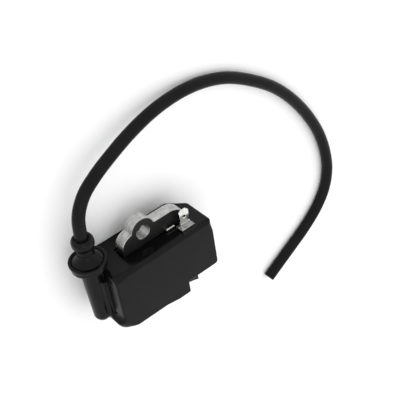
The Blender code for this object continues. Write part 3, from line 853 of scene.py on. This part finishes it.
def make_core():
    """The sheets in one stack: bare punched edges between two coated faces."""
    outline = core_outline()
    holes = [
        arc(EAR_HOLE_X, EAR_HOLE_Y, BOLT_HOLE_RADIUS, 0, -360, 48)[:-1],
        arc(LEG_EAR_X, LEG_EAR_Y, BOLT_HOLE_RADIUS, 0, -360, 48)[:-1],
    ]
    levels = stack_levels()
    bm = bmesh.new()
    ends = ([], [])
    for loop in (outline, *holes):
        rings = []
        for number, (z, inset) in enumerate(levels):
            sheet = number // 4
            unevenness = 0.03 * math.sin(7.0 * sheet) if sheet > 0 else 0.0
            moved = drawn_in(loop, inset + max(0.0, unevenness))
            rings.append([bm.verts.new((x, y, z)) for x, y in moved])
        for below, above in zip(rings, rings[1:]):
            for i in range(len(loop)):
                j = (i + 1) % len(loop)
                bm.faces.new((below[i], below[j], above[j], above[i])).material_index = 1
        for end, ring in zip(ends, (rings[0], rings[-1])):
            end.extend(bm.edges.get((ring[i - 1], ring[i])) for i in range(len(ring)))
    for end, direction in zip(ends, (-1, 1)):
        made = bmesh.ops.triangle_fill(bm, use_beauty=True, edges=end, normal=(0, 0, direction))
        for face in made["geom"]:
            if isinstance(face, bmesh.types.BMFace):
                face.material_index = 0
                if face.normal.z * direction < 0:
                    face.normal_flip()
    bm.transform(Matrix.Scale(MM, 4))
    mesh = bpy.data.meshes.new("core")
    bm.to_mesh(mesh)
    bm.free()
    mesh.materials.append(coating)
    mesh.materials.append(steel)
    mesh.shade_smooth()
    mesh.set_sharp_from_angle(angle=math.radians(25))
    core = bpy.data.objects.new("core", mesh)
    bpy.context.scene.collection.objects.link(core)
    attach(core, BODY)
    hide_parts("laminated_core")


make_core()


# ---------------------------------------------------------------- terminal and strap


SHEET = 0.8
BLADE_MIDDLE, BLADE_HALF, CORNER_CUT = 20.05, 2.25, 1.1
EYE_X, EYE_Y, EYE_RADIUS = 19.9, 12.2, 0.75
FOOT_BACK_Y, FOOT_LEFT, FOOT_RIGHT, FOOT_FRONT = 8.5, 15.9, 22.1, 19.8
CHANNEL_DEPTH = 0.22


def terminal_field(x, y, z):
    """Sheet metal: a blade with an eye, bent into a foot, with a tail through the slot."""
    back, top = BLADE_FRONT - SHEET, blade_high.y
    left, right = BLADE_MIDDLE - BLADE_HALF, BLADE_MIDDLE + BLADE_HALF
    plan = polygon(
        x,
        y,
        [
            (left, 7.0),
            (right, 7.0),
            (right, top - CORNER_CUT),
            (right - CORNER_CUT, top),
            (left + CORNER_CUT, top),
            (left, top - CORNER_CUT),
        ],
    )
    blade = both(plan, abs(z - back - SHEET / 2) - SHEET / 2, 0.16)
    blade = both(blade, blade_low.y - y + 3.7)
    foot_low = (FOOT_LEFT, FOOT_BACK_Y, back + 0.05)
    foot_high = (FOOT_RIGHT, FOOT_BACK_Y + SHEET, FOOT_FRONT)
    foot = brick(x, y, z, foot_low, foot_high, 0.15)
    channel_y = FOOT_BACK_Y + SHEET - CHANNEL_DEPTH
    for low, high in ((17.35, 17.95), (18.55, 18.95)):
        ends = (FOOT_LEFT - 0.9, channel_y, low), (FOOT_RIGHT + 0.9, 10.0, high)
        foot = without(foot, brick(x, y, z, *ends, 0.1), 0.08)
    metal_sheet = either(blade, foot, 0.3)
    tail = brick(x, y, z, (18.5, 4.9, back + 0.05), (21.6, 9.0, BLADE_FRONT - 0.05), 0.08)
    metal_sheet = either(metal_sheet, tail)
    eye = np.sqrt((x - EYE_X) ** 2 + (y - EYE_Y) ** 2) - EYE_RADIUS
    return without(metal_sheet, eye, 0.1)


def strap_field(x, y, z):
    """A strip with a groove along it, a finger down to the core, and a tail through the slot."""
    strip = brick(x, y, z, (11.8, 8.55, 14.3), (15.95, 9.45, 15.1), 0.12)
    groove = brick(x, y, z, (12.2, 9.25, 14.58), (17.0, 10.0, 14.86), 0.06)
    strip = without(strip, groove, 0.05)
    finger = brick(x, y, z, (11.8, 8.55, core_high.z + 0.02), (13.2, 9.45, 14.6), 0.12)
    tail = brick(x, y, z, (13.6, 5.2, 14.6), (15.0, 9.0, 15.1), 0.08)
    return either(either(strip, finger, 0.15), tail)


def on_foot(points):
    """Where the terminal is its foot, which gets the rougher tin whose darker colour is painted shade.
    """
    return (points[:, 2] > BLADE_FRONT + 0.05) & (points[:, 1] < 9.45)


def make_terminals():
    cell = 0.09
    blade_box, finishes = (blade_low, blade_high), [tinned, shaded_rough_tin]
    blade = solid_from_field("terminal_blade", terminal_field, *blade_box, cell, finishes, on_foot)
    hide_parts("kill_terminal")
    reach = strap_high + Vector((1.0, 0.0, 0.0))
    base = strap_low - Vector((0.0, 0.0, 0.5))
    strap = solid_from_field("strap", strap_field, base, reach, cell, [tinned])
    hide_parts("earth_strap")


make_terminals()


# ---------------------------------------------------------------- CAD nodes that stay

FINISHES = {
    bobbin_plastic: ["primary_bobbin", "secondary_bobbin", "charge_bobbin"],
    thick_wire: ["primary_winding", "charge_winding", "primary_output_wire", "secondary_output_wire"],
    fine_wire: [f"secondary_winding_{n}" for n in range(1, 6)],
    board_green: ["circuit_board"],
    component: ["storage_capacitor", "timing_resistor_1", "timing_resistor_2"],
    semiconductor: ["thyristor", "rectifier_diode_1", "rectifier_diode_2"],
    brass: ["high_tension_contact"],
    strand: ["lead_conductor"],
}
for finish, names in FINISHES.items():
    for name in names:
        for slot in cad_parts[name].material_slots:
            slot.material = finish


# ---------------------------------------------------------------- floor and light


def make_floor():
    """A plain pale floor, wide enough to reach past the picture."""
    made, tree, shader = tree_of("floor_paper", Specular_IOR_Level=0.2)
    shader.inputs["Roughness"].default_value = 0.6
    cloud = noise(tree, coordinates(tree), 3.0, 2.0)
    pale = ramp(tree, cloud, [(0.3, (0.93, 0.93, 0.93)), (0.7, (0.94, 0.94, 0.94))])
    tree.links.new(pale, shader.inputs["Base Color"])
    size = 3.0
    corners = [(-size, -size, 0), (size, -size, 0), (size, size, 0), (-size, size, 0)]
    mesh = bpy.data.meshes.new("floor")
    mesh.from_pydata(corners, [], [(0, 1, 2, 3)])
    mesh.materials.append(made)
    floor = bpy.data.objects.new("floor", mesh)
    bpy.context.scene.collection.objects.link(floor)


def area_light(name, place, aim, size, power):
    """A rectangular light at a place in metres that shines at another."""
    data = bpy.data.lights.new(name, "AREA")
    data.shape = "RECTANGLE"
    data.size, data.size_y = size
    data.energy = power
    light = bpy.data.objects.new(name, data)
    bpy.context.scene.collection.objects.link(light)
    light.location = place
    light.rotation_euler = (Vector(aim) - Vector(place)).to_track_quat("-Z", "Y").to_euler()


def make_light():
    """An even bright studio, and a weak soft key light from the left."""
    world = bpy.data.worlds.new("studio")
    bpy.context.scene.world = world
    world.use_nodes = True
    background = world.node_tree.nodes["Background"]
    background.inputs["Color"].default_value = (1.0, 1.0, 1.0, 1.0)
    background.inputs["Strength"].default_value = 1.18
    area_light("key", (-0.35, 0.05, 0.8), (0.02, 0.0, 0.0), (0.5, 0.5), 0.7)
    bpy.context.scene.view_settings.view_transform = "Standard"


make_floor()
make_light()
